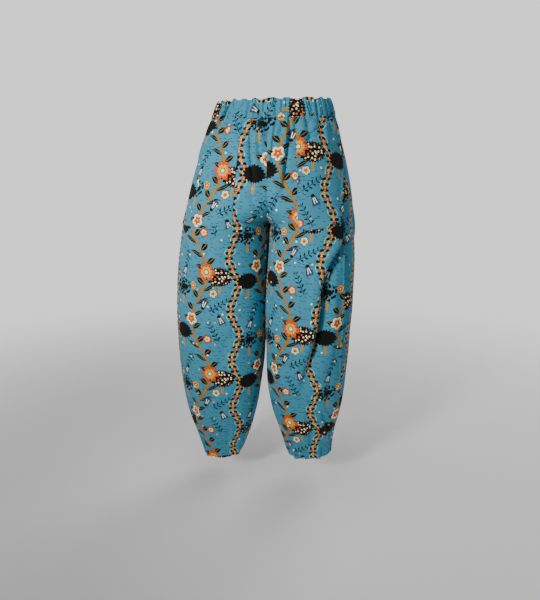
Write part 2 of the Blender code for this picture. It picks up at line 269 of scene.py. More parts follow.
def panelArcs(side, face, level):
    # turns from a panel's inner edge to its outseam, and the lengths up to them
    centre, radius, centreY, depth = (part[..., None] for part in halfSection(side, level))
    middle = signOf(side) * (formAt("leftIn", level) + formAt("rightIn", level))[..., None] / 2
    reach = np.clip((middle - centre) / radius, -1, 1)
    innerTurn = np.arccos(oval(reach, form["roundness"] / 2)) * (1 if face == "front" else -1)
    belowCrotch = ease((form["crotch"] - level) / form["inseamBlend"])[..., None]
    innerTurn = innerTurn + seamTurn(side + "In", level) * belowCrotch
    turns = innerTurn + (seamTurn(side + "Out", level) - innerTurn) * np.linspace(0, 1, form["arcSteps"])
    x = centre + radius * oval(np.cos(turns), 2 / form["roundness"])
    y = centreY - depth * oval(np.sin(turns), 2 / form["roundness"])
    steps = np.hypot(np.diff(x), np.diff(y))
    return turns, np.concatenate([np.zeros(level.shape + (1,)), np.cumsum(steps, axis=-1)], axis=-1)


def readCurves(wanted, lengths, values):
    # np.interp for a whole grid: one curve for each place
    curves = zip(*(part.reshape(-1, part.shape[-1]) for part in (wanted, lengths, values)))
    return np.array([np.interp(at, known, value) for at, known, value in curves]).reshape(wanted.shape)


def frontShares(side, level, column, turns, lengths):
    # one column follows the pocket's inner edge
    centre, radius, _, _ = halfSection(side, level)
    fromMiddle = throughPoints(pocketEdges[:, 0], pocketEdges[:, 1 if side == "left" else 2], level)
    reach = np.clip((fromMiddle - centre) / radius, -1, 1)
    edgeTurn = np.arccos(oval(reach, form["roundness"] / 2))
    edge = readCurves(-edgeTurn[..., None], -turns, lengths)[..., 0] / lengths[..., -1]
    edgeColumn = form["pocketColumn"]
    relaxed = ease((form["pocketBottom"] - level) / form["relaxHeight"])
    edge = edge * (1 - relaxed) + edgeColumn * relaxed
    inside = column / edgeColumn * edge
    outside = edge + (column - edgeColumn) / (1 - edgeColumn) * (1 - edge)
    return np.where(column < edgeColumn, inside, outside)


def levelsAt(down, column):
    # down runs 0 to 1 over the hips, 1 to 2 over the leg and 2 to 3 over the hem
    waist, crotch, side, hem = (form[name] for name in ("waist", "crotch", "crotchSide", "hem"))
    hemTop = hem + form["hemHeight"]
    hip, leg, turnUp = (np.clip(down - start, 0, 1) for start in (0, 1, 2))
    leg = leg ** form["legPower"]
    turnUp = (hem - hemTop) * turnUp
    inner = waist + (crotch - waist) * (1 - (1 - hip) ** 2) + (hemTop - crotch) * leg + turnUp
    outer = waist + (side - waist) * hip + (hemTop - side) * leg + turnUp
    return outer + (inner - outer) * (1 - column) ** form["dipPower"]


def waistTurn(side, turn):
    # the angle round the whole waist of a turn on one side
    return -turn if side == "left" else math.pi + turn


def lifted(side, flat, level):
    # adds the height: tilted at the waist, lowered or slanted at the hem
    tilt = form["waistTilt"] * ease((level - form["tiltEnds"]) / (form["waist"] - form["tiltEnds"]))
    height = level + tilt * flat[..., 1]
    middle = (formAt(side + "Out", level) + formAt(side + "In", level)) / 2
    slant = form["hemSlant"][side] * signOf(side) * (flat[..., 0] - middle)
    drop = 0.0 if side == "left" else form["rightDrop"]
    height = height + (slant - drop) * ease((form["crotch"] - level) / (form["crotch"] - form["hem"]))
    return np.concatenate([flat, height[..., None]], axis=-1)


gathers = {
    "count": 6, "depth": 5.6 * mm, "length": 84 * mm, "atSeam": 0.45, "swell": 30 * mm, "soften": 0.16,
    "depthVaries": 0.3, "lengthVaries": 0.35,
    "fineCount": 50, "fineDepth": 2.2 * mm, "fineLength": 42 * mm, "fineVaries": 0.45,
}

# creases: panel, the line's points (level in mm, share of the width), depth and width in mm, how narrow
# the trough's inner side is, bulge beyond it (a share of the depth), lean of it over the trough in mm
creaseNames = ("panel", "line", "depth", "width", "steep", "bulge", "lean")
creases = (
    ("frontLeft", ((-285, 0.975), (-330, 0.94), (-393, 0.827), (-431, 0.788),
                   (-525, 0.765), (-617, 0.711), (-735, 0.61)), 19, 34, 0.2, 0.3, 0),
    ("frontLeft", ((-288, 0.97), (-330, 0.94), (-393, 0.827), (-431, 0.788),
                   (-525, 0.765), (-617, 0.711), (-690, 0.655)), 7, 11, 0.5, 1.1, 10),
    ("frontLeft", ((-430, 0.9), (-560, 0.885), (-700, 0.86)), -3, 15, 0.7, 0, 0),
    ("frontLeft", ((-420, 0.3), (-480, 0.34), (-560, 0.36)), 2.6, 22, 0.7, 0.8, 0),
    ("frontLeft", ((-25, 0.276), (-60, 0.257), (-139, 0.206), (-204, 0.2)), 7.6, 8, 0.5, 0.9, 1.8),
    ("frontLeft", ((-29, 0.111), (-62, 0.077), (-104, 0.057), (-150, 0.05)), 4.8, 7, 0.6, 0.8, 0.8),
    ("frontLeft", ((-205, 0.17), (-245, 0.11), (-284, 0.03)), 2.6, 8, 0.7, 0.8, 0.3),
    ("frontLeft", ((-640, 0.3), (-730, 0.34), (-800, 0.42)), 2.2, 26, 0.7, 0.6, 0),
    ("frontLeft", ((-790, 0.66), (-829, 0.642), (-862, 0.635), (-925, 0.61)), 4.6, 10, 0.7, 0.8, 1),
    ("frontLeft", ((-800, 0.78), (-823, 0.799), (-856, 0.836), (-910, 0.89)), 5.2, 9, 0.7, 0.9, 1.4),
    ("frontLeft", ((-870, 0.26), (-905, 0.28), (-945, 0.27)), 2.2, 10, 0.7, 0.7, 0),
    ("frontLeft", ((-640, 0.88), (-730, 0.86), (-820, 0.84)), 2.6, 18, 0.7, 0.6, 0),
    ("frontLeft", ((-912, 0.36), (-960, 0.38), (-1010, 0.38)), 4.6, 8, 0.5, 0.9, 1),
    ("frontLeft", ((-918, 0.74), (-960, 0.72), (-1010, 0.71)), 4.2, 7, 0.6, 0.9, 0.8),
    ("frontLeft", ((-30, 0.76), (-57, 0.577), (-86, 0.46)), 3, 10, 0.7, 0.8, 0.4),
    ("frontRight", ((-300, 0.9), (-400, 0.8), (-520, 0.72)), 3.6, 26, 0.7, 0.8, 0),
    ("frontRight", ((-560, 0.4), (-640, 0.5), (-740, 0.58)), 2.8, 24, 0.7, 0.8, 0),
    ("frontRight", ((-28, 0.225), (-74, 0.187), (-137, 0.171), (-196, 0.165)), 8.4, 8.5, 0.45, 0.9, 2.2),
    ("frontRight", ((-26, 0.155), (-43, 0.131), (-57, 0.106), (-105, 0.085)), 4.6, 7, 0.7, 0.8, 0.6),
    ("frontRight", ((-200, 0.21), (-240, 0.14), (-282, 0.04)), 2.6, 8, 0.7, 0.8, 0.3),
    ("frontRight", ((-230, 0.55), (-265, 0.62), (-300, 0.74)), 1.6, 13, 0.7, 0.6, 0),
    ("frontRight", ((-22, 0.72), (-41, 0.587), (-66, 0.49)), 3, 9, 0.7, 0.8, 0.4),
    ("frontRight", ((-700, 0.82), (-780, 0.78), (-860, 0.72)), 3.2, 16, 0.7, 0.7, 0),
    ("frontRight", ((-800, 0.78), (-829, 0.811), (-870, 0.845), (-915, 0.885)), 3.8, 10, 0.7, 0.8, 0.8),
    ("frontRight", ((-850, 0.4), (-890, 0.42), (-940, 0.4)), 2.2, 12, 0.7, 0.7, 0),
    ("frontRight", ((-880, 0.62), (-915, 0.6), (-948, 0.6)), 2, 8, 0.7, 0.7, 0),
    ("frontRight", ((-914, 0.3), (-960, 0.28), (-1010, 0.27)), 4.6, 8, 0.5, 0.9, 1),
    ("frontRight", ((-908, 0.76), (-960, 0.78), (-1010, 0.79)), 4.4, 8, 0.5, 0.9, 1),
    ("backLeft", ((-270, 0.88), (-400, 0.66), (-560, 0.56)), 6.4, 26, 0.7, 0.8, 0),
    ("backLeft", ((-285, 0.84), (-380, 0.68), (-500, 0.59)), 3.2, 10, 0.7, 0.9, 2.5),
    ("backLeft", ((-330, 0.22), (-400, 0.3), (-520, 0.42)), 4.4, 24, 0.7, 0.8, 0),
    ("backLeft", ((-230, 0.1), (-275, 0.22), (-330, 0.38)), 2.6, 12, 0.7, 0.7, 0),
    ("backLeft", ((-60, 0.34), (-120, 0.36), (-200, 0.33)), 3, 12, 0.7, 0.8, 0),
    ("backLeft", ((-56, 0.66), (-100, 0.64), (-165, 0.67)), 2.6, 11, 0.7, 0.8, 0),
    ("backLeft", ((-620, 0.26), (-720, 0.3), (-820, 0.4)), 3, 24, 0.7, 0.7, 0),
    ("backLeft", ((-800, 0.62), (-870, 0.6), (-935, 0.57)), 3.2, 13, 0.7, 0.8, 0.4),
    ("backLeft", ((-850, 0.3), (-895, 0.28), (-940, 0.3)), 2.4, 10, 0.7, 0.8, 0),
    ("backRight", ((-270, 0.86), (-390, 0.7), (-600, 0.62)), 7.2, 26, 0.7, 0.8, 0),
    ("backRight", ((-290, 0.82), (-390, 0.7), (-520, 0.64)), 3.2, 10, 0.7, 0.9, 2.5),
    ("backRight", ((-340, 0.2), (-430, 0.3), (-540, 0.36)), 3.6, 24, 0.7, 0.8, 0),
    ("backRight", ((-225, 0.09), (-265, 0.2), (-315, 0.36)), 2.8, 12, 0.7, 0.7, 0),
    ("backRight", ((-58, 0.3), (-110, 0.33), (-180, 0.31)), 2.8, 11, 0.7, 0.8, 0),
    ("backRight", ((-54, 0.58), (-120, 0.6), (-210, 0.56)), 3.2, 12, 0.7, 0.8, 0),
    ("backRight", ((-640, 0.72), (-740, 0.66), (-830, 0.6)), 3, 22, 0.7, 0.7, 0),
    ("backRight", ((-810, 0.4), (-870, 0.42), (-930, 0.4)), 3, 12, 0.7, 0.8, 0.4),
    ("backRight", ((-845, 0.76), (-890, 0.74), (-940, 0.75)), 2.6, 11, 0.7, 0.8, 0),
)

# how a crease fades above and below its line, in shares of the line's height, and where its ridge and
# its lean lie beside it, in its own widths
creaseForm = {
    "above": 0.14, "fadeIn": 0.34, "below": 0.15, "fadeOut": 0.5, "outerSide": 0.7, "atSeams": 0.07,
    "ridgeAt": 1.4, "ridgeWidth": 1.1, "leanAt": 0.75, "leanWidth": 0.8,
}

# slow, small hollows and swellings that hanging cotton has, and where each panel's start
hollows = {
    "depth": 1.1 * mm, "second": 0.6, "below": 60 * mm, "grows": 80 * mm, "atSeams": 0.1,
    "frontLeft": 0.3, "frontRight": 1.7, "backLeft": 3.1, "backRight": 4.6,
}

seamLook = {
    "dip": 0.9 * mm, "dipWidth": 3.2 * mm,          # cloth turns in towards a seam
    "outDip": 3.4 * mm, "frontWidth": 2.2 * mm, "backWidth": 12 * mm,     # more so at an outseam
    "roll": 2.0 * mm, "rollAway": 6.5 * mm, "rollWidth": 4 * mm,          # the front's edge stands out there
    "pucker": 0.35 * mm, "puckerWidth": 14 * mm, "puckerStep": 9.5 * mm,
    "joinDepth": 9 * mm, "underBand": 0.5 * mm,     # the panels' tops follow the band's lower edge
    "middleWidth": 9 * mm, "crotchJoin": 16 * mm,   # both sides meet in the middle, down to the crotch
    "innerSeeds": {"front": 1.0, "back": 3.0}, "outseamSeed": 2.0,    # where the puckers start
}

# the insides of the legs swell until they touch, from the crotch to above the knee
touching = {"swell": 1.8 * mm, "width": 0.10, "grows": 22 * mm, "ends": -640 * mm, "shrinks": 60 * mm}

hemLook = {
    "stitch": 31 * mm, "groove": 0.5 * mm, "grooveWidth": 1.6 * mm, "round": 1.3 * mm,
    "waves": 2.0 * mm, "wavesOver": 75 * mm, "waveStart": {"left": 0.5, "right": 2.2},
    "pucker": 0.3 * mm, "puckerWidth": 12 * mm,
}


def ripplePhase(turn):
    # uneven gathers round the waist: the phase of each place
    uneven = 1.5 * np.sin(5 * turn + 0.6) + 1.1 * np.sin(11 * turn + 2.0) + 0.7 * np.sin(17 * turn + 4.1)
    return gathers["fineCount"] * turn + uneven


def rippleHeight(turn, sharpness=0.75):
    # 0 on the ridges and -1 in the narrow valleys
    uneven = 0.78 + 0.22 * np.sin(9 * turn + 1.3) * np.sin(4 * turn)
    return (np.sqrt(np.sin(ripplePhase(turn) / 2) ** 2 + 0.004) ** sharpness - 1) * uneven


def gatherRelief(side, level, column, turn):
    below = form["waist"] - level
    swell = gathers["atSeam"] + (1 - gathers["atSeam"]) * ease(below / gathers["swell"])
    across = 2 * math.pi * column
    depth = gathers["depth"] * (1 + gathers["depthVaries"] * np.sin(1.5 * across) * np.sin(1.75 * across))
    length = gathers["length"] * (1 + gathers["lengthVaries"] * np.sin(across) * np.sin(2.7 * across))
    valley = np.sqrt(np.sin(gathers["count"] * across / 2) ** 2 + gathers["soften"] ** 2)
    large = depth * swell * (1 - ease(below / length)) * (2 * valley - 1.2)
    around = waistTurn(side, turn)
    uneven = gathers["fineVaries"] * np.sin(13 * around) * np.sin(6 * around + 1)
    fineLength = gathers["fineLength"] * (1 + uneven)
    fine = gathers["fineDepth"] * rippleHeight(around, 1.0) * (1 - ease(below / fineLength))
    return large + fine


def creaseRelief(panel, share, level, width):
    # relief outwards, and the sideways lean towards the outseam
    relief, lean, look = np.zeros(level.shape), np.zeros(level.shape), creaseForm
    for crease in (dict(zip(creaseNames, row)) for row in creases):
        if crease["panel"] != panel:
            continue
        levels, shares = np.array(crease["line"]).T * np.array([[mm], [1.0]])
        offset = (share - throughPoints(levels, shares, level)) * width / (crease["width"] * mm)
        down = (levels[0] - level) / (levels[0] - levels[-1])
        fade = ease((down + look["above"]) / look["fadeIn"])
        fade = fade * ease((1 + look["below"] - down) / look["fadeOut"])
        trough = bump(offset / np.where(offset < 0, crease["steep"], look["outerSide"]))
        ridge = bump((offset + look["ridgeAt"]) / look["ridgeWidth"])
        relief += crease["depth"] * mm * (crease["bulge"] * ridge - trough) * fade
        lean += crease["lean"] * mm * bump((offset + look["leanAt"]) / look["leanWidth"]) * fade
    atSeams = ease(share / look["atSeams"]) * ease((1 - share) / look["atSeams"])
    return relief * atSeams, lean * atSeams


def unevenness(panel, share, level):
    seed, down = hollows[panel], -level / (100 * mm)
    swell = np.sin(1.9 * down + 5.1 * share + seed) * np.sin(7.3 * share - 0.8 * down + 2 * seed)
    small = np.sin(3.7 * down - 4.0 * share + 3 * seed) * np.sin(11.9 * share + 1.1 * down)
    atSeams = ease(share / hollows["atSeams"]) * ease((1 - share) / hollows["atSeams"])
    below = ease(-(level + hollows["below"]) / hollows["grows"])
    return hollows["depth"] * (swell + hollows["second"] * small) * atSeams * below


def seamRelief(level, fromSeam, seed):
    # the dip at a seam and the small puckers beside it
    dip = -seamLook["dip"] * bump(fromSeam / seamLook["dipWidth"])
    along = level / seamLook["puckerStep"] * 2 * math.pi
    strength = 0.6 + 0.4 * np.sin(along * 0.11 + 2 * seed)
    puckers = np.sin(along + 1.7 * np.sin(along * 0.23 + seed) + seed) * strength
    return dip + seamLook["pucker"] * puckers * bump(fromSeam / seamLook["puckerWidth"])


def outseamRelief(face, fromSeam):
    width = seamLook["frontWidth"] if face == "front" else seamLook["backWidth"]
    rolled = seamLook["roll"] * bump((fromSeam - seamLook["rollAway"]) / seamLook["rollWidth"])
    return (rolled if face == "front" else 0.0) - seamLook["outDip"] * bump(fromSeam / width)


def touchingLegs(level, turn):
    innermost = bump((1 + np.cos(turn)) / touching["width"])
    grown = ease((form["crotch"] - level) / touching["grows"])
    return touching["swell"] * innermost * grown * ease((level - touching["ends"]) / touching["shrinks"])


def hemRelief(side, level, turn):
    above = level - form["hem"]
    fromStitch = above - hemLook["stitch"]
    waves = 0.6 * np.sin(7 * turn + hemLook["waveStart"][side]) + 0.4 * np.sin(12 * turn + 1.0)
    waves = hemLook["waves"] * waves * (1 - ease(above / hemLook["wavesOver"]))
    groove = -hemLook["groove"] * bump(fromStitch / hemLook["grooveWidth"])
    rolled = -hemLook["round"] * (1 - np.sqrt(1 - (1 - np.clip(above / hemLook["round"], 0, 1)) ** 2))
    puckers = hemLook["pucker"] * np.sin(38 * turn + 2.0 * np.sin(5 * turn))
    return waves + groove + rolled + puckers * bump(fromStitch / hemLook["puckerWidth"])


def clothAt(side, face, down, column):
    # points of a panel's outer side at places given by how far down and how far across they lie
    panel = face + side.capitalize()
    level = levelsAt(down, column)
    turns, lengths = panelArcs(side, face, level)
    share = frontShares(side, level, column, turns, lengths) if face == "front" else column + 0 * level
    width = lengths[..., -1]
    turn = readCurves((share * width)[..., None], lengths, turns)[..., 0]
    centre, radius, centreY, depth = halfSection(side, level)
    sign, power = signOf(side), form["roundness"]
    flat = np.stack([sign * (centre + radius * oval(np.cos(turn), 2 / power)),
                     centreY - depth * oval(np.sin(turn), 2 / power)], axis=-1)
    outward = np.stack([sign * oval(np.cos(turn), 2 - 2 / power) / radius,
                        -oval(np.sin(turn), 2 - 2 / power) / depth], axis=-1)
    outward /= np.linalg.norm(outward, axis=-1, keepdims=True)
    crease, lean = creaseRelief(panel, share, level, width)
    relief = gatherRelief(side, level, column, turn) + crease + unevenness(panel, share, level)
    relief = relief + hemRelief(side, level, turn)
    fromOutseam = (1 - share) * width
    relief = relief + seamRelief(level, share * width, seamLook["innerSeeds"][face])
    relief = relief + seamRelief(level, fromOutseam, seamLook["outseamSeed"])
    relief = relief + outseamRelief(face, fromOutseam) + touchingLegs(level, turn)
    joined = 1 - ease((form["waist"] - level) / seamLook["joinDepth"])
    atBand = band["outside"] + casingRipple(waistTurn(side, turn), -1.0) - seamLook["underBand"]
    relief, lean = relief + (atBand - relief) * joined, lean * (1 - joined)
    toOutseam = np.stack([-outward[..., 1], outward[..., 0]], axis=-1)
    if (side == "left") != (face == "front"):
        toOutseam = -toOutseam
    flat = flat + outward * relief[..., None] + toOutseam * lean[..., None]
    middle = (formAt("leftIn", level) + formAt("rightIn", level))[:, 0] / 2
    stray = (flat[:, 0, 0] - middle) * ease(1 - (form["crotch"] - level[:, 0]) / seamLook["crotchJoin"])
    flat[..., 0] -= stray[:, None] * bump(share * width / seamLook["middleWidth"])
    return lifted(side, flat, level), outward, level


def fromScreen(red, green, blue):
    # a colour as seen on a screen, 0 to 255, as the shader wants it
    return tuple(((part / 255 + 0.055) / 1.055) ** 2.4 if part > 10 else part / 255 / 12.92
                 for part in (red, green, blue)) + (1.0,)


cottonPrint = {
    "across": 190.0, "along": 280.0,         # one repeat in mm, each column dropped by half of it
    "ground": fromScreen(64, 136, 160),
    "groundDark": fromScreen(50, 120, 144),
    "tick": fromScreen(8, 40, 58),
    "leaf": fromScreen(7, 11, 7),
    "stem": fromScreen(184, 122, 22),
    "stemEdge": fromScreen(78, 42, 8),
    "rust": fromScreen(212, 86, 34),
    "ochre": fromScreen(226, 168, 66),
    "cream": fromScreen(255, 240, 190),
    "slate": fromScreen(58, 66, 112),
    "thinLine": fromScreen(214, 212, 120),
    "edge": 0.5,                             # mm over which one colour gives way to the next
    "cloud": 0.7,                            # how far the ground goes over to its darker shade
}

# motifs in one repeat: places in mm, turns in degrees
sprays = {"places": ((38, -92, 28), (-40, 96, 152), (54, -20, -58)),
          "long": 62.0, "step": 12.0, "leafLong": 15.0, "leafWide": 3.6, "stalk": 0.9}
bells = {"places": ((58, -58, 24), (-52, 66, -26), (14, -18, 160)), "wide": 9.5, "tall": 11.5}
blooms = (    # place, radius, petals, inks from the edge inwards, turn
    (24, 68, 23.0, 6, ("rust", "ochre", "cream"), 0), (-26, -60, 17.5, 5, ("cream", "rust", "ochre"), 20),
    (-18, 30, 11.0, 5, ("ochre", "rust", "cream"), 50), (40, 12, 10.0, 5, ("cream", "ochre", "rust"), 10),
    (20, -112, 11.5, 5, ("rust", "cream", "ochre"), 35),
)
heads = (     # place, half width, half height, stalk, lobes, leaf spacing where it is open, seed spacing
    (57, 56, 34, 24, 20, 23, 0, 8.4), (-57, -98, 29, 21, 24, 19, 0, 0), (-56, 22, 29, 23, 22, 13, 7.5, 0),
)
chain = {"sway": 11.0, "wind": 13.0, "tendril": 0.6, "steps": 10, "leafAway": 5.6, "leaf": (5.4, 3.6),
         # place along the chain, place aside, radius, colour and heart
         "flowers": ((0.0, 2.0, 4.6, "rust", "ochre"), (0.5, -2.0, 4.4, "ochre", "rust"),
                     (0.25, -1.0, 2.2, "cream", "leaf"), (0.75, 1.0, 2.2, "ochre", "leaf"))}
stem = {"sway": 26.0, "thick": 2.8, "swells": 0.7, "leafSteps": 8, "leafAway": 16.5, "leafLong": 15.0,
        "leafWide": 6.8, "leafLift": 0.62}
ticks = {"cell": 11.5, "thin": 0.66, "shortest": 2.0, "longer": 2.4, "kept": 0.34}
florets = {"cell": 46.0, "size": 2.5, "cream": 0.6, "ochre": 0.25}
seeds = {"size": 2.3, "margin": 4.0, "cream": 0.45}

weave = {"pitch": 0.55, "height": 0.05 * mm, "strength": 0.55, "slub": 0.35,
         "shadeFrom": 0.86, "shadeBy": 0.26, "reverse": fromScreen(150, 186, 198), "reversePale": 0.6}
stitch = {"long": 2.5 * mm, "gap": 0.8 * mm, "thick": 0.42 * mm, "twist": 900.0, "roughness": 0.6,
          "dark": fromScreen(44, 104, 124), "pale": fromScreen(78, 140, 160)}
cottonFinish = {"Roughness": 0.84, "Specular IOR Level": 0.16, "Sheen Weight": 0.05, "Sheen Roughness": 0.5}


class Field:
    # a number or colour that changes over the cloth: the output of a node
    tree = None    # of the material being made

    def __init__(self, socket):
        self.socket = socket

    def __add__(self, other):
        return node("ADD", self, other)

    def __radd__(self, other):
        return node("ADD", other, self)

    def __sub__(self, other):
        return node("SUBTRACT", self, other)

    def __rsub__(self, other):
        return node("SUBTRACT", other, self)

    def __mul__(self, other):
        return node("MULTIPLY", self, other)

    def __rmul__(self, other):
        return node("MULTIPLY", other, self)

    def __truediv__(self, other):
        return node("DIVIDE", self, other)


def newNode(kind, inputs=(), **settings):
    # a node with its settings, and fields or constants on its inputs; gives its outputs
    made = Field.tree.nodes.new("ShaderNode" + kind)
    for name, value in settings.items():
        setattr(made, name, value)
    for place, value in dict(inputs).items():
        if isinstance(value, Field):
            Field.tree.links.new(value.socket, made.inputs[place])
        else:
            made.inputs[place].default_value = value
    return {output.name if output.enabled else i: Field(output) for i, output in enumerate(made.outputs)}


def onlyOutput(outputs):
    return next(iter(outputs.values()))


def node(operation, *values, clamp=False):
    return onlyOutput(newNode("Math", enumerate(values), operation=operation, use_clamp=clamp))


def lengthOf(x, y):
    return node("SQRT", node("MULTIPLY_ADD", x, x, y * y))


def absolute(x):
    return node("ABSOLUTE", x)


def wrapped(x, period):
    return node("WRAP", x, period / 2, -period / 2)


def inside(depth):
    # 1 where depth is above 0 mm, with a soft edge
    return node("MULTIPLY_ADD", depth, 1 / cottonPrint["edge"], 0.5, clamp=True)


def both(first, second):
    return node("MULTIPLY", first, second)


def larger(first, second):
    return node("MAXIMUM", first, second)


def wave(x, turns, period):
    return node("SINE", x * (2 * math.pi * turns / period))


def paint(under, mask, color, way="MIX"):
    ink = cottonPrint[color] if isinstance(color, str) else color
    colorA, colorB = 6, 7    # the mix node's colour inputs
    mixed = newNode("Mix", {0: mask, colorA: under, colorB: ink}, data_type="RGBA", blend_type=way)
    return mixed["Result"]


def placed(x, y, atX, atY, turn=0.0):
    # the nearest copy of a motif's own place and direction, in mm
    across, along = cottonPrint["across"], cottonPrint["along"]
    dx = x - atX
    nearX = wrapped(dx, across)
    column = (dx - nearX) * (1 / across)
    nearY = wrapped(node("MULTIPLY_ADD", column, -along / 2, y - atY), along)
    if not turn:
        return nearX, nearY
    cos, sin = math.cos(math.radians(turn)), math.sin(math.radians(turn))
    return (node("MULTIPLY_ADD", nearX, cos, nearY * sin), node("MULTIPLY_ADD", nearY, cos, nearX * -sin))


def ellipse(x, y, wide, tall):
    # depth below the edge of an ellipse, near enough in mm
    return (1.0 - lengthOf(x * (1 / wide), y * (1 / tall))) * min(wide, tall)


def bloom(color, x, y, radius, petals, inks, turn):
    # an open flower: petals with a dark edge, a ring and a heart
    away = lengthOf(x, y)
    angle = node("ARCTAN2", y, x) + math.radians(turn)
    lobe = absolute(node("COSINE", angle * (petals / 2)))
    edge = node("MULTIPLY_ADD", node("POWER", lobe, 0.55), radius * 0.42, radius * 0.58)
    color = paint(color, inside(edge - away + 1.3), "leaf")
    color = paint(color, inside(edge - away), inks[0])
    color = paint(color, inside(edge * 0.66 - away), inks[1])
    veins = absolute(node("SINE", angle * (petals / 2)))
    vein = both(inside((0.10 - veins) * away), inside(edge * 0.9 - away))
    color = paint(color, vein, "stemEdge")
    color = paint(color, inside(radius * 0.30 - away), "leaf")
    return paint(color, inside(radius * 0.21 - away), inks[2])


def spray(color, x, y):
    # a stalk with leaflets in pairs, smaller towards its tip
    long, leafLong = sprays["long"], sprays["leafLong"]
    along = y + long / 2
    taper = node("MULTIPLY_ADD", along, -0.55 / long, 1.0)
    ends = both(inside(along), inside(long - along))
    side = absolute(x)
    up = wrapped(y, sprays["step"]) - side * 0.75
    reach = (side - leafLong * 0.56 * taper) / (leafLong * 0.5 * taper)
    leaflet = sprays["leafWide"] * taper * (1.0 - reach * reach) - absolute(up)
    return paint(color, both(inside(larger(leaflet, sprays["stalk"] * taper - side)), ends), "leaf")


def leafyHead(color, x, y, wide, tall, stalk, lobes, gaps):
    # a round head of small leaves on a short stalk, open in places where there are gaps
    down = 0.0 - y
    trunk = both(inside(node("MULTIPLY_ADD", down, 0.035, 1.7) - absolute(x)),
                 both(inside(down), inside(tall + stalk - down)))
    color = paint(color, trunk, "stem")
    head = ellipse(x, y, wide, tall) + 1.6 * node("SINE", node("ARCTAN2", y, x) * float(lobes))
    leaves = inside(head)
    if gaps:
        spots, _ = dotsIn(x, y, gaps, gaps * 0.45, 3.0)
        leaves = both(leaves, larger(spots, inside(head - tall * 0.62)))
    return paint(color, leaves, "leaf"), head


def bellFlower(color, x, y):
    # a hanging bell: narrow at its cap, flared and scalloped at the lip
    wide, tall = bells["wide"], bells["tall"]
    part = node("MULTIPLY_ADD", y, -0.5 / tall, 0.5, clamp=True)
    half = wide * (0.40 + 0.6 * node("POWER", part, 1.8))
    lip = node("COSINE", x * (2 * math.pi / wide * 1.5)) * (tall * 0.12)
    shell = both(inside(half - absolute(x)), both(inside(tall - y), inside(y + tall + lip)))
    rim = both(inside(half + 1.2 - absolute(x)), both(inside(tall + 1.2 - y), inside(y + tall + 1.2 + lip)))
    color = paint(color, rim, "leaf")
    color = paint(color, shell, "slate")
    line = absolute(absolute(x) - half * 0.42)
    stripe = both(inside(1.1 - line), both(inside(tall * 0.55 - y), inside(y + tall * 0.75)))
    color = paint(color, stripe, "cream")
    return paint(color, inside(ellipse(x, y - tall, wide * 0.52, tall * 0.30)), "leaf")


def scattered(x, y, cell, seed):
    # uneven cells over the cloth, a random number for each, and the place they are read at
    place = onlyOutput(newNode("CombineXYZ", {"X": x + seed, "Y": y + seed * 1.7}))
    cells = newNode("TexVoronoi", {"Vector": place, "Scale": 1 / cell, "Randomness": 0.85},
                    voronoi_dimensions="2D", feature="F1")
    return cells, onlyOutput(newNode("SeparateColor", {0: cells["Color"]})), place


def dotsIn(x, y, cell, size, seed):
    # scattered dots: their mask, and a random number for each
    cells, chance, _ = scattered(x, y, cell, seed)
    return inside(size - cells["Distance"] * cell), chance


def tickMarks(x, y):
    # short dark dashes, as if brushed, in loose groups
    cells, chance, place = scattered(x, y, ticks["cell"], 31.0)
    offset = onlyOutput(newNode("VectorMath", {0: place, 1: cells["Position"]}, operation="SUBTRACT"))
    parts = newNode("SeparateXYZ", {0: offset})
    dx, dy = parts["X"], parts["Y"]
    long = node("MULTIPLY_ADD", chance, ticks["longer"], ticks["shortest"])
    curved = dy - dx * dx * 0.10 + dx * 0.14
    dash = both(inside(long - absolute(dx)), inside(ticks["thin"] - absolute(curved)))
    return both(dash, node("GREATER_THAN", chance, ticks["kept"]))


def ground(x, y):
    # teal, a little uneven, with its small dark ticks
    place = onlyOutput(newNode("CombineXYZ", {"X": x, "Y": y}))
    cloud = onlyOutput(newNode("TexNoise", {"Vector": place, "Scale": 0.02, "Detail": 3.0}))
    color = paint(cottonPrint["ground"], cloud * cottonPrint["cloud"], "groundDark")
    return paint(color, tickMarks(x, y) * 0.9, "tick")


def flowerChain(color, x, y):
    # a narrow chain of small flowers and leaves, with two thin tendrils wound round it
    along = cottonPrint["along"]
    nearX, nearY = placed(x, y, cottonPrint["across"] / 2, 0)
    side = nearX - chain["sway"] * wave(nearY, 2, along)
    twist = chain["wind"] * wave(nearY, 4, along)
    for way in (1.0, -1.0):
        color = paint(color, inside(chain["tendril"] - absolute(side - twist * way)), "thinLine")
    step = along / chain["steps"]
    leaves = ellipse(absolute(side) - chain["leafAway"], wrapped(nearY - step / 4, step / 2), *chain["leaf"])
    color = paint(color, inside(leaves), "leaf")
    for up, aside, radius, ink, heart in chain["flowers"]:
        away = lengthOf(side - aside, wrapped(nearY - up * step, step))
        for reach, tint in ((radius + 1.0, "leaf"), (radius, ink), (radius * 0.38, heart)):
            color = paint(color, inside(reach - away), tint)
    return color


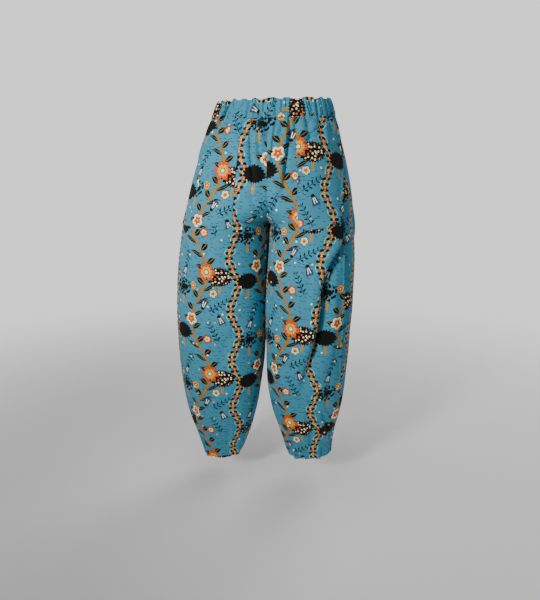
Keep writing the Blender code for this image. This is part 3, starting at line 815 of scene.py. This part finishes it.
def climbingStem(color, x, y):
    # a thick meandering stem with dark pointed leaves on both sides
    along = cottonPrint["along"]
    nearX, nearY = placed(x, y, 0, 0)
    across = nearX - stem["sway"] * wave(nearY, 1, along)
    thick = stem["thick"] + stem["swells"] * wave(nearY, 4, along)
    side = absolute(across)
    step = along / stem["leafSteps"]
    shift = node("GREATER_THAN", across, 0.0) * (step / 2)
    up = wrapped(nearY + shift, step) - side * stem["leafLift"]
    reach = (side - stem["leafAway"]) * (1 / stem["leafLong"])
    leafBody = stem["leafWide"] * (1.0 - reach * reach) - absolute(up)
    color = paint(color, inside(leafBody), "leaf")
    color = paint(color, both(inside(0.5 - absolute(up)), inside(leafBody - 2.0)), "stem")
    color = paint(color, inside(thick + 0.9 - side), "stemEdge")
    color = paint(color, inside(thick - side), "stem")
    grain = node("SINE", across * 2.6 + 2.0 * node("SINE", nearY * 0.35))
    return paint(color, both(inside(thick - 0.8 - side), inside(grain - 0.75)), "stemEdge")


def leafyHeads(color, x, y):
    for atX, atY, wide, tall, stalk, lobes, gaps, seedCell in heads:
        nearX, nearY = placed(x, y, atX, atY)
        color, head = leafyHead(color, nearX, nearY, wide, tall, stalk, lobes, gaps)
        if seedCell:
            dots, chance = dotsIn(nearX, nearY, seedCell, seeds["size"], 5.0)
            dots = both(dots, inside(head - seeds["margin"]))
            color = paint(color, both(dots, node("GREATER_THAN", chance, seeds["cream"])), "cream")
            color = paint(color, both(dots, node("LESS_THAN", chance, seeds["cream"])), "rust")
    return color


def printColor(x, y):
    # x and y in mm on the flat cloth
    color = flowerChain(ground(x, y), x, y)
    for place in sprays["places"]:
        color = spray(color, *placed(x, y, *place))
    color = leafyHeads(climbingStem(color, x, y), x, y)
    for place in bells["places"]:
        color = bellFlower(color, *placed(x, y, *place))
    for atX, atY, radius, petals, inks, turn in blooms:
        color = bloom(color, *placed(x, y, atX, atY), radius, petals, inks, turn)
    # small florets on the ground
    dots, chance = dotsIn(x, y, florets["cell"], florets["size"], 7.0)
    color = paint(color, both(dots, node("GREATER_THAN", chance, florets["cream"])), "cream")
    return paint(color, both(dots, node("LESS_THAN", chance, florets["ochre"])), "ochre")


def newMaterial(name):
    made = bpy.data.materials.new(name)
    made.use_nodes = True
    Field.tree = made.node_tree
    return made, made.node_tree.nodes["Principled BSDF"]


def makeCotton(name, reverse):
    cotton, shader = newMaterial(name)
    parts = newNode("SeparateXYZ", {0: onlyOutput(newNode("UVMap", uv_map="cloth"))})
    x, y = parts["X"] * 1000.0, parts["Y"] * 1000.0
    color = printColor(x, y)
    if reverse:
        color = paint(color, weave["reversePale"], weave["reverse"])

    # plain weave: threads over and under, some thicker
    stretched = onlyOutput(newNode("CombineXYZ", {"X": x * 1.6, "Y": y * 0.12}))
    slub = onlyOutput(newNode("TexNoise", {"Vector": stretched, "Scale": 1.0}))
    threads = math.pi / weave["pitch"]
    height = absolute(node("SINE", x * threads) * node("SINE", y * threads)) + slub * weave["slub"]
    raised = onlyOutput(newNode("Bump", {"Height": height, "Strength": weave["strength"],
                                         "Distance": weave["height"]}))
    shade = node("MULTIPLY_ADD", slub, weave["shadeBy"], weave["shadeFrom"])
    color = paint(color, 1.0, shade, "MULTIPLY")
    Field.tree.links.new(raised.socket, shader.inputs["Normal"])
    Field.tree.links.new(color.socket, shader.inputs["Base Color"])
    for part, value in cottonFinish.items():
        shader.inputs[part].default_value = value
    return cotton


def makeThread():
    # glossier than the cloth, in two shades of its ground
    sewingThread, shader = newMaterial("thread")
    place = newNode("TexCoord")["Object"]
    twist = onlyOutput(newNode("TexNoise", {"Vector": place, "Scale": stitch["twist"]}))
    color = paint(stitch["dark"], twist, stitch["pale"])
    Field.tree.links.new(color.socket, shader.inputs["Base Color"])
    shader.inputs["Roughness"].default_value = stitch["roughness"]
    return sewingThread


printedCotton = makeCotton("printedCotton", reverse=False)
cottonBack = makeCotton("cottonBack", reverse=True)
thread = makeThread()
print("print, weave and thread made")


panels = {
    "frontLeft": {"node": "front_left", "face": "front", "side": "left", "columns": 230, "legRows": 120,
                  "flat": (0.366, 0.967), "cut": 0.271, "print": (0.050, 0.031)},
    "frontRight": {"node": "front_right", "face": "front", "side": "right", "columns": 150, "legRows": 110,
                   "flat": (0.389, 0.977), "cut": 0.291, "print": (0.236, 0.031)},
    "backLeft": {"node": "back_left", "face": "back", "side": "left", "columns": 170, "legRows": 110,
                 "flat": (0.490, 1.004), "cut": 0.348, "print": (0.455, 0.118)},
    "backRight": {"node": "back_right", "face": "back", "side": "right", "columns": 170, "legRows": 110,
                  "flat": (0.489, 1.011), "cut": 0.344, "print": (0.121, 0.094)},
}
# rows of points over the hips and the hem, closer towards its edge
cloth = {"wall": 0.8 * mm, "hemWall": 2.0 * mm, "thinnest": 0.6, "hipRows": 46, "hemRows": 18, "closer": 1.6}

pockets = {
    "pocketLeft": {"node": "pocket_left", "side": "left", "print": (0.083, 0.147)},
    "pocketRight": {"node": "pocket_right", "side": "right", "print": (0.171, 0.061)},
}
pocketLook = {
    "columns": 100, "rows": 110, "closer": 1.15, "flat": (0.150, 0.286), "corner": 26 * mm,
    "wall": 1.1 * mm, "lift": 0.35 * mm, "puff": 1.0 * mm, "flatterAtBand": 0.6,
    "edge": 0.55 * mm, "edgeWidth": 0.7 * mm,       # how far the edge rolls down
    "stitchIn": 2.6 * mm, "groove": 0.25 * mm, "grooveWidth": 1.0 * mm,
    "ripple": 0.22 * mm, "rippleStep": 1.4 * mm,    # small ripples that the stitches draw in
}

band = {"columns": 1000, "height": 43 * mm, "wall": 3.0 * mm, "outside": 2.6 * mm, "over": 0.8 * mm,
        "puff": 1.8 * mm, "ripple": 5.2 * mm, "twist": 0.016,
        "topWave": 2.2 * mm, "topFine": 1.2 * mm, "flat": (1.06, 0.043), "print": (0.062, 0.031),
        "stitchUp": 4.5 * mm, "groove": 0.7 * mm, "grooveWidth": 1.3 * mm}

# sharp pinches in the casing: degrees round the waist at its top and bottom, depth and half-width in mm
pinches = (
    (231.5, 226.0, 13.0, 4.6), (247.0, 248.5, 3.0, 2.4), (262.5, 263.5, 3.6, 2.6), (285.0, 283.5, 2.8, 2.2),
    (300.5, 302.0, 4.2, 2.8), (317.0, 315.5, 3.4, 2.6), (338.0, 340.0, 4.4, 3.0), (18.0, 16.0, 4.0, 3.0),
    (47.0, 49.0, 3.2, 2.6), (71.0, 70.0, 4.6, 3.0), (96.0, 97.5, 3.0, 2.4), (124.0, 122.0, 4.4, 3.0),
    (151.0, 153.0, 3.4, 2.6), (176.0, 174.5, 4.2, 3.0), (203.0, 205.0, 3.2, 2.6),
)


def gridNormals(points, outward):
    normals = np.cross(np.gradient(points, axis=0), np.gradient(points, axis=1))
    normals /= np.linalg.norm(normals, axis=-1, keepdims=True) + 1e-12
    return normals * np.sign((normals[..., :2] * outward).sum(-1).mean())


def settle(place, points, passes):
    # lets a grid settle on a plane until each edge and diagonal has its length on the cloth
    whole, first, last = slice(None), slice(None, -1), slice(1, None)
    pairs = (((whole, first), (whole, last)), ((first, whole), (last, whole)),
             ((first, first), (last, last)), ((first, last), (last, first)))
    lengths = [np.linalg.norm(points[b] - points[a], axis=-1, keepdims=True) for a, b in pairs]
    shares = np.zeros(place.shape[:2] + (1,))
    for a, b in pairs:
        shares[a] += 1
        shares[b] += 1
    for _ in range(passes):
        push = np.zeros_like(place)
        for (a, b), length in zip(pairs, lengths):
            gap = place[b] - place[a]
            now = np.linalg.norm(gap, axis=-1, keepdims=True)
            half = gap * (1 - length / now) / 2
            push[a] += half
            push[b] -= half
        place = place + 1.4 * push / shares
    return place


def resampled(grid, rows, columns):
    # a grid read at other rows and columns, counted in its own steps
    up = np.stack([np.interp(rows, np.arange(len(grid)), grid[:, j, k])
                   for j in range(grid.shape[1]) for k in range(grid.shape[2])], axis=-1)
    up = up.reshape(len(rows), grid.shape[1], grid.shape[2])
    across = np.stack([np.interp(columns, np.arange(grid.shape[1]), up[i, :, k])
                       for i in range(len(rows)) for k in range(grid.shape[2])], axis=0)
    return across.reshape(len(rows), grid.shape[2], len(columns)).transpose(0, 2, 1)


def clothPlaces(name, points, level, outwardToRight):
    # each point's place on the flat cloth, in metres, with the grain line upright at the middle column
    steps = np.linalg.norm(np.diff(points[..., :2], axis=1), axis=-1)
    across = np.concatenate([np.zeros((len(points), 1)), np.cumsum(steps, axis=1)], axis=1)
    grain = points.shape[1] // 2
    across = across - across[:, grain:grain + 1]
    down = np.concatenate([[0.0], np.cumsum(np.linalg.norm(np.diff(points[:, grain], axis=0), axis=-1))])
    place = np.stack([across, -down[:, None] + level - level[:, grain:grain + 1]], axis=-1)
    rows, columns = points.shape[0] - 1, points.shape[1] - 1
    for coarse, passes in ((22, 1600), (60, 500)):
        atRows, atColumns = np.linspace(0, rows, coarse + 1), np.linspace(0, columns, coarse * 2 // 3 + 1)
        settled = settle(resampled(place, atRows, atColumns), resampled(points, atRows, atColumns), passes)
        place = resampled(settled, np.arange(rows + 1) * coarse / rows,
                          np.arange(columns + 1) * (coarse * 2 // 3) / columns)
    place = place - place[:1, grain:grain + 1]
    size = place.max(axis=(0, 1)) - place.min(axis=(0, 1))
    edges = np.diff(place, axis=0)[:, :-1], np.diff(place, axis=1)[:-1]
    area = np.abs(edges[0][..., 0] * edges[1][..., 1] - edges[0][..., 1] * edges[1][..., 0]).sum()
    print(f"{name} lies flat in {size[0]:.3f} x {size[1]:.3f} m, {area:.3f} m2 of cloth")
    return place * np.array([1.0 if outwardToRight else -1.0, 1.0])


def wallFaces(rows, columns):
    # quads of an outer grid, an inner grid behind it, and the rim between them
    place = np.arange(rows * columns).reshape(rows, columns)
    a, b, c, d = place[:-1, :-1], place[:-1, 1:], place[1:, 1:], place[1:, :-1]
    outer = np.stack([a, b, c, d], axis=-1).reshape(-1, 4)
    behind = rows * columns
    rim = np.concatenate([place[0, :], place[1:, -1], place[-1, -2::-1], place[-2:0:-1, 0]])
    follows = np.roll(rim, -1)
    edge = np.stack([follows, rim, rim + behind, follows + behind], axis=-1)
    return outer, outer[:, ::-1] + behind, edge


def makeMesh(name, points, faces, slots, places, materials):
    mesh = bpy.data.meshes.new(name)
    mesh.vertices.add(len(points))
    mesh.vertices.foreach_set("co", points.astype(np.float32).ravel())
    mesh.loops.add(faces.size)
    mesh.loops.foreach_set("vertex_index", faces.ravel().astype(np.int32))
    mesh.polygons.add(len(faces))
    mesh.polygons.foreach_set("loop_start", (np.arange(len(faces)) * faces.shape[1]).astype(np.int32))
    mesh.polygons.foreach_set("material_index", slots.astype(np.int32))
    if places is not None:
        layer = mesh.uv_layers.new(name="cloth")
        layer.data.foreach_set("uv", places[faces.ravel()].astype(np.float32).ravel())
    mesh.update(calc_edges=True)
    mesh.validate()
    for material in materials:
        mesh.materials.append(material)
    mesh.shade_smooth()
    piece = bpy.data.objects.new(name, mesh)
    bpy.context.scene.collection.objects.link(piece)
    return piece


def sewnWall(name, outer, inner, places, printedInside, flipped):
    # a wall with the print outside, and inside too where the cloth is turned up
    rows, columns = outer.shape[:2]
    front, back, edge = wallFaces(rows, columns)
    faces = np.concatenate([front, back, edge])
    innerSlots = np.repeat(np.where(printedInside[:-1], 0, 1), columns - 1)
    slots = np.concatenate([np.zeros(len(front)), innerSlots, np.zeros(len(edge))])
    if flipped:
        faces = faces[:, ::-1]
    points = np.concatenate([outer.reshape(-1, 3), inner.reshape(-1, 3)])
    flat = places.reshape(-1, 2)
    piece = makeMesh(name, points, faces, slots, np.concatenate([flat, flat]), (printedCotton, cottonBack))
    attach(piece, "root")
    return piece


def closerAtEnds(count):
    # places from 0 to 1, about half as far apart beside the seams
    closer, even = 0.45, np.linspace(0, 1, count + 1)
    return even - closer * np.sin(2 * math.pi * even) / (2 * math.pi)


def makePanel(name):
    look = panels[name]
    face, side = look["face"], look["side"]
    hemDown = 1 - (1 - np.linspace(0, 1, cloth["hemRows"] + 1)[1:]) ** cloth["closer"]
    legDown = np.linspace(0, 1, look["legRows"] + 1)[1:]
    down = np.concatenate([np.linspace(0, 1, cloth["hipRows"] + 1), 1 + legDown, 2 + hemDown])
    column = closerAtEnds(look["columns"])
    down, column = np.meshgrid(down, column, indexing="ij")
    points, outward, level = clothAt(side, face, down, column)
    normals = gridNormals(points, outward)
    above = level - form["hem"]
    wall = np.where(down >= 2, cloth["hemWall"], cloth["wall"])
    radius = cloth["hemWall"] / 2
    rolled = radius - np.sqrt(np.maximum(radius ** 2 - (radius - np.clip(above, 0, radius)) ** 2, 0))
    outer = points - normals * rolled[..., None]
    inner = points - normals * np.maximum(wall - rolled, cloth["thinnest"] * wall)[..., None]
    toRight = (side == "left") == (face == "front")
    places = clothPlaces(name, points, level, toRight) + np.array(look["print"])
    piece = sewnWall(name, outer, inner, places, down[:, 0] >= 2, flipped=not toRight)
    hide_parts(look["node"])
    return {"points": outer, "normals": normals, "level": level, "down": down}


def makePocket(name):
    look, side = pockets[name], pockets[name]["side"]
    across = closerAtEnds(pocketLook["columns"])
    part = np.linspace(0, 1, pocketLook["rows"] + 1)
    part = 1 - (1 - part) ** pocketLook["closer"]
    part, across = np.meshgrid(part, across, indexing="ij")
    wide, tall = pocketLook["flat"]
    fromEdge = across * wide
    radius = pocketLook["corner"]
    corner = radius - np.sqrt(np.maximum(radius ** 2 - (radius - np.minimum(fromEdge, radius)) ** 2, 0))
    bottom = 1 + form["legRowOfPocket"]
    column = form["pocketColumn"] + across * (1 - form["pocketColumn"])
    reach = form["waist"] - levelsAt(np.full_like(part, bottom), column)
    down = placeDown(part * (1 - corner / reach), column, bottom)
    points, outward, level = clothAt(side, "front", down, column)
    normals = gridNormals(points, outward)
    fromBottom = (1 - part) * tall
    edge = np.minimum(fromEdge, fromBottom)
    rolled = pocketLook["edge"] * bump(edge / pocketLook["edgeWidth"])
    groove = pocketLook["groove"] * bump((edge - pocketLook["stitchIn"]) / pocketLook["grooveWidth"])
    puff = pocketLook["puff"] * ease(edge / 0.05) * ease((1 - across) / 0.2)
    ripple = pocketLook["ripple"] * np.sin(level / pocketLook["rippleStep"] + 3 * np.sin(level / 0.011))
    ripple = ripple * bump((edge - 2 * mm) / (5 * mm))
    height = pocketLook["lift"] + pocketLook["wall"] + puff - rolled - groove + ripple
    atBand = 1 - ease((form["waist"] - level) / seamLook["joinDepth"])
    height = height * (1 - pocketLook["flatterAtBand"] * atBand)
    outer = points + normals * height[..., None]
    inner = points + normals * pocketLook["lift"]
    places = clothPlaces(name, points, level, side == "left") + np.array(look["print"])
    piece = sewnWall(name, outer, inner, places, np.zeros(len(part), bool), flipped=side != "left")
    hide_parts(look["node"])
    return {"points": outer, "normals": normals, "fromEdge": fromEdge, "fromBottom": fromBottom}


def placeDown(part, column, bottom):
    # the place down the panel of a part of the way to the pocket's lowest row
    ladder = np.linspace(0, bottom, 200)
    fractions = np.empty(part.shape)
    for j in range(part.shape[1]):
        levels = levelsAt(ladder, column[0, j])
        lengths = (levels[0] - levels) / (levels[0] - levels[-1])
        fractions[:, j] = np.interp(part[:, j], lengths, ladder)
    return fractions


def bandRing(turn, height, away):
    # points of the waistband at a height, moved outwards by a distance, round the waist
    level = np.full(turn.shape, height)
    radius = np.where(np.cos(turn) > 0, halfSection("left", level)[1], halfSection("right", level)[1])
    _, _, centreY, depth = halfSection("left", level)
    power = 2 / form["roundness"]
    cosine, sine = np.cos(turn), np.sin(turn)
    flat = np.stack([radius * oval(cosine, power), centreY + depth * oval(sine, power)], axis=-1)
    outward = np.stack([oval(cosine, 2 - power) / radius, oval(sine, 2 - power) / depth], axis=-1)
    outward /= np.linalg.norm(outward, axis=-1, keepdims=True)
    flat = flat + outward * away[..., None]
    tilt = form["waistTilt"] * ease((level - form["tiltEnds"]) / (form["waist"] - form["tiltEnds"]))
    return np.concatenate([flat, (level + tilt * flat[..., 1])[..., None]], axis=-1)


def pinched(turn, upper):
    # a valley with a small puff on each side of it
    deep = np.zeros(turn.shape)
    for top, bottom, depth, width in pinches:
        middle = math.radians(bottom + (top - bottom) * upper)
        away = (turn - middle + math.pi) % (2 * math.pi) - math.pi
        away = np.abs(away) * form["girthOfTurn"] / (width * mm)
        deep += depth * mm * (bump(away) - 0.3 * bump((away - 2.3) / 1.1))
    return deep


def casingRipple(turn, share):
    # the waistband's gathers, at a height given as a share of its half height
    between, upper = 1 - abs(share) ** 4, (share + 1) / 2
    twist = band["twist"] * np.sin(6 * turn + 2.0) * share
    ripple = rippleHeight(turn + twist) * band["ripple"] * (0.62 + 0.38 * between)
    ripple = ripple + 0.6 * mm * np.sin(2.1 * ripplePhase(turn + 2 * twist) + 3 * upper) * between
    return ripple - pinched(turn, upper)


def makeWaistband():
    turn = np.linspace(0, 2 * math.pi, band["columns"], endpoint=False)
    half = band["height"] / 2
    # profile: height as a share of the half height, outside or inside, all the way round the casing
    upward = np.concatenate([[-1.0, -0.985, -0.95], np.linspace(-0.9, 0.9, 26), [0.95, 0.985]])
    profile = [(h, 1.0) for h in upward] + [(1.0, 0.5)] + [(h, 0.0) for h in upward[::-1]]
    rings, heights = [], []
    for share, outside in profile:
        between, upper = 1 - abs(share) ** 4, (share + 1) / 2
        ripple = casingRipple(turn, share)
        atStitch = bump((share * half + half - band["stitchUp"]) / band["grooveWidth"])
        thickness = band["wall"] * (0.35 + 0.65 * between)
        out = band["outside"] + ripple + band["puff"] * between - band["groove"] * atStitch
        inward = band["outside"] + 0.75 * ripple - thickness
        away = inward + (out - inward) * outside
        wave = band["topWave"] * np.sin(0.5 * ripplePhase(turn) + 3 * np.sin(3 * turn))
        fine = band["topFine"] * rippleHeight(turn) - 0.35 * pinched(turn, upper)
        wave = wave * ease((share + 0.2) / 1.2) + fine * ease((share - 0.2) / 0.8)
        ring = bandRing(turn, share * half, away)
        ring[:, 2] += wave - band["over"] * ease((-0.9 - share) / 0.1)
        rings.append(ring)
        heights.append(share * half * (1 if outside else -1) + (0 if outside else 2 * half))
    points = np.stack(rings)
    rows, columns = points.shape[:2]
    place = np.arange(rows * columns).reshape(rows, columns)
    below, beside = np.roll(place, -1, axis=0), np.roll(place, -1, axis=1)
    opposite = np.roll(below, -1, axis=1)
    faces = np.stack([place, beside, opposite, below], axis=-1).reshape(-1, 4)
    middle = points[rows // 4]
    around = np.concatenate([[0.0], np.cumsum(np.linalg.norm(np.diff(middle[:, :2], axis=0), axis=-1))])
    places = np.stack(np.broadcast_arrays(np.array(heights)[:, None], around[None, :]), axis=-1).copy()
    bandMesh(points, faces, places, around[-1] + np.linalg.norm(middle[0, :2] - middle[-1, :2]))


def bandMesh(points, faces, places, girth):
    # cut crosswise, so the print is turned by a right angle
    column = faces % points.shape[1]
    closing = (np.ptp(column, axis=1) > 1)[:, None] & (column == 0)    # where the loop comes round
    uv = places.reshape(-1, 2)[faces.ravel()]
    uv[closing.ravel(), 1] += girth
    slots = np.zeros(len(faces))
    piece = makeMesh("gatheredWaistband", points.reshape(-1, 3), faces, slots, None, (printedCotton,))
    layer = piece.data.uv_layers.new(name="cloth")
    layer.data.foreach_set("uv", (uv + np.array(band["print"])).astype(np.float32).ravel())
    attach(piece, "root")
    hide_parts("waistband")


def stitchRow(name, runs):
    # short thread capsules along each run of points, laid on the cloth
    ring = np.array([(math.cos(a), math.sin(a)) for a in np.linspace(0, 2 * math.pi, 6, endpoint=False)])
    stations = np.array([-0.5, -0.4, -0.14, 0.14, 0.4, 0.5])
    girth = np.array([0.15, 0.8, 1.0, 1.0, 0.8, 0.15])
    sink = np.array([-0.75, -0.15, 0.3, 0.3, -0.15, -0.75])
    # faces of one capsule: five bands of six, and its two ends
    sides = [(i + j, i + (j + 1) % 6, i + (j + 1) % 6 + 6, i + j + 6)
             for i in range(0, 30, 6) for j in range(6)]
    ends = [(3, 2, 1, 0), (5, 4, 3, 0), (30, 31, 32, 33), (30, 33, 34, 35)]
    capsule, allPoints = np.array(sides + ends), []
    for path, normals in runs:
        lengths = np.concatenate([[0.0], np.cumsum(np.linalg.norm(np.diff(path, axis=0), axis=-1))])
        step = stitch["long"] + stitch["gap"]
        for start in np.arange(step / 2, lengths[-1] - step / 2, step):
            at = start + stations * stitch["long"]
            spine = np.stack([np.interp(at, lengths, path[:, i]) for i in range(3)], axis=-1)
            up = np.stack([np.interp(at, lengths, normals[:, i]) for i in range(3)], axis=-1)
            up /= np.linalg.norm(up, axis=-1, keepdims=True)
            along = np.gradient(spine, axis=0)
            aside = np.cross(up, along)
            aside /= np.linalg.norm(aside, axis=-1, keepdims=True)
            spine = spine + up * (sink * stitch["thick"] / 2)[:, None]
            radius = (girth * stitch["thick"] / 2)[:, None, None]
            shell = spine[:, None] + radius * (ring[:, :1] * aside[:, None] + ring[:, 1:] * up[:, None])
            allPoints.append(shell.reshape(-1, 3))
    faces = np.concatenate([capsule + i * 36 for i in range(len(allPoints))])
    piece = makeMesh(name, np.concatenate(allPoints), faces, np.zeros(len(faces)), None, (thread,))
    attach(piece, "root")


def rowAt(grid, height):
    # the run of points of a panel at a height above its hem
    above = grid["level"] - form["hem"]
    return [np.array([[np.interp(-height, -above[:, j], grid[part][:, j, i]) for i in range(3)]
                      for j in range(above.shape[1])]) for part in ("points", "normals")]


def edgeRun(grid, inset):
    # down a pocket's inner edge, round its corner and along its bottom
    points, normals = grid["points"], grid["normals"]
    column = int(np.argmin(np.abs(grid["fromEdge"][0] - inset)))
    row = int(np.argmin(np.abs(grid["fromBottom"][:, 0] - inset)))
    path = np.concatenate([points[:row, column], points[row, column:]])
    return path, np.concatenate([normals[:row, column], normals[row, column:]])


grids = {name: makePanel(name) for name in panels}
print("leg panels cut and hung")
pocketGrids = {name: makePocket(name) for name in pockets}
print("pockets laid on the fronts")
makeWaistband()
print("waistband gathered")

for side in ("Left", "Right"):
    hem = [rowAt(grids[face + side], hemLook["stitch"]) for face in ("front", "back")]
    stitchRow("hemStitches" + side, hem)
    stitchRow("pocketStitches" + side, [edgeRun(pocketGrids["pocket" + side], pocketLook["stitchIn"])])
print("stitches sewn")
